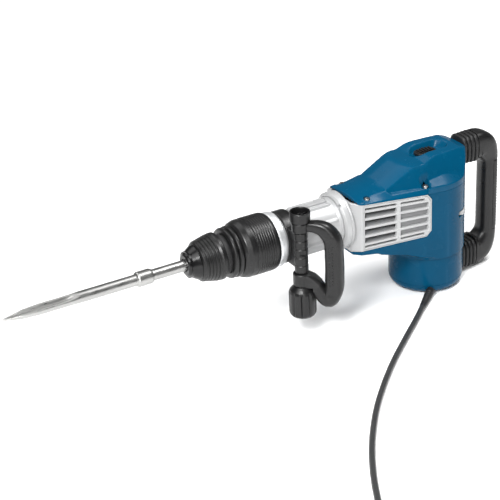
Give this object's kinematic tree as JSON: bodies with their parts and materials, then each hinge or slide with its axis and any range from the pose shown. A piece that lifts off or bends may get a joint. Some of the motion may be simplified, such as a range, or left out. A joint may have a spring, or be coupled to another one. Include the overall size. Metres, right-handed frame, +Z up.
{
  "type": "demolition hammer",
  "caption": "Electric demolition hammer with a long pointed chisel in a round tool holder, a swivelling D-shaped side handle and a sprung rear handle.",
  "frame": {"origin": "where the motor's vertical axis meets the flat underside of the motor end cap, which stands on the floor", "axes": "+Z up; the chisel points along -X and the rear handle is at +X; the side handle's clamp is on the -Y side"},
  "size_m": [0.889, 0.776, 0.2455],
  "materials": {
    "blue_casing": "satin moulded plastic",
    "cast_alloy": "bead-blasted casting",
    "grey_grille": "moulded, light grey",
    "silver_ring": "turned",
    "black_plastic": "moulded, fine grain",
    "rubber": "moulded, matt",
    "steel": "ground",
    "dark_steel": "oiled, dark",
    "copper": "wound and turned copper",
    "brass": "plain",
    "circuit": "potted board"
  },
  "bodies": {
    "housing": {"gear_housing": "cast_alloy", "grille_left": "grey_grille", "grille_right": "grey_grille", "motor_housing": "blue_casing", "motor_end_cap": "blue_casing", "top_cover": "blue_casing", "bearing_plate": "cast_alloy", "electronics_module": "circuit", "cover_screw_1": "dark_steel", "cover_screw_2": "dark_steel", "cover_screw_3": "dark_steel", "cover_screw_4": "dark_steel", "barrel_neck": "cast_alloy", "neck_collar": "cast_alloy", "front_shroud": "black_plastic", "silver_ring": "silver_ring", "cylinder_liner": "steel", "crank_bearing": "steel", "stator": "dark_steel", "upper_bearing": "steel", "lower_bearing": "steel", "brush_holder_left": "brass", "brush_holder_right": "brass", "handle_guide_upper": "steel", "handle_guide_lower": "steel", "strain_relief": "rubber", "power_cord": "rubber", "cord_coil": "rubber", "power_plug": "rubber"},
    "tool_holder": {"tool_sleeve": "steel", "gap_band": "rubber", "dust_cap": "rubber", "adjusting_ring_front": "black_plastic", "adjusting_ring_rear": "black_plastic"},
    "locking_sleeve": {"locking_sleeve": "black_plastic"},
    "chisel": {"chisel": "steel"},
    "beat_piece": {"beat_piece": "steel"},
    "ram": {"ram": "steel"},
    "piston": {"piston": "steel", "wrist_pin": "steel"},
    "connecting_rod": {"connecting_rod": "dark_steel"},
    "crank": {"crank_gear": "dark_steel"},
    "armature": {"armature_shaft": "steel", "armature_core": "copper", "commutator": "copper", "cooling_fan": "black_plastic"},
    "side_clamp": {"clamp_band": "black_plastic", "handle_bolt": "dark_steel", "bolt_cap": "black_plastic"},
    "side_loop": {"side_loop": "black_plastic"},
    "clamp_knob": {"clamp_knob": "black_plastic"},
    "rear_handle": {"rear_handle": "black_plastic", "rear_grip": "rubber", "bellows_upper": "rubber", "bellows_lower": "rubber", "handle_spring_upper": "steel", "handle_spring_lower": "steel"},
    "slide_switch": {"slide_switch": "black_plastic"},
    "speed_dial": {"speed_dial": "black_plastic"}
  },
  "joints": [
    {"name": "tool_holder_turn", "type": "hinge", "parent": "housing", "child": "tool_holder", "pos_m": [-0.4, 0, 0.158], "axis": [1, 0, 0], "continuous": true},
    {"name": "locking_sleeve_slide", "type": "slide", "parent": "tool_holder", "child": "locking_sleeve", "axis": [1, 0, 0], "range_m": [0, 0.009], "stiffness_N_per_m": 600},
    {"name": "chisel_slide", "type": "slide", "parent": "tool_holder", "child": "chisel", "axis": [1, 0, 0], "range_m": [0, 0.012]},
    {"name": "beat_piece_slide", "type": "slide", "parent": "housing", "child": "beat_piece", "axis": [1, 0, 0], "range_m": [0, 0.008]},
    {"name": "ram_slide", "type": "slide", "parent": "housing", "child": "ram", "axis": [1, 0, 0], "range_m": [0, 0.024]},
    {"name": "piston_slide", "type": "slide", "parent": "housing", "child": "piston", "axis": [1, 0, 0], "range_m": [0, 0.044]},
    {"name": "connecting_rod_swing", "type": "hinge", "parent": "piston", "child": "connecting_rod", "pos_m": [-0.145, 0, 0.158], "axis": [0, 0, 1], "range_deg": [-17, 17]},
    {"name": "armature_spin", "type": "hinge", "parent": "housing", "child": "armature", "pos_m": [0, 0, 0.06], "axis": [0, 0, 1], "continuous": true},
    {"name": "crank_spin", "type": "hinge", "parent": "housing", "child": "crank", "pos_m": [-0.048, 0, 0.129], "axis": [0, 0, 1], "continuous": true},
    {"name": "side_clamp_turn", "type": "hinge", "parent": "housing", "child": "side_clamp", "pos_m": [-0.2755, 0, 0.158], "axis": [1, 0, 0], "continuous": true},
    {"name": "side_loop_swing", "type": "hinge", "parent": "side_clamp", "child": "side_loop", "pos_m": [-0.276, -0.057, 0.15], "axis": [0, 0, 1], "range_deg": [-105, 30]},
    {"name": "clamp_knob_turn", "type": "hinge", "parent": "side_clamp", "child": "clamp_knob", "pos_m": [-0.276, -0.057, 0.07], "axis": [0, 0, 1], "continuous": true},
    {"name": "rear_handle_damping", "type": "slide", "parent": "housing", "child": "rear_handle", "axis": [1, 0, 0], "range_m": [-0.006, 0], "stiffness_N_per_m": 6000},
    {"name": "slide_switch_travel", "type": "slide", "parent": "housing", "child": "slide_switch", "axis": [1, 0, 0], "range_m": [0, 0.008]},
    {"name": "speed_dial_turn", "type": "hinge", "parent": "housing", "child": "speed_dial", "pos_m": [0.034, -0.0435, 0.1335], "axis": [0, 0, 1], "range_deg": [0, 300]}
  ],
  "couplings": [
    {"joint": "crank_spin", "follows": "armature_spin", "ratio": -0.14286}
  ]
}
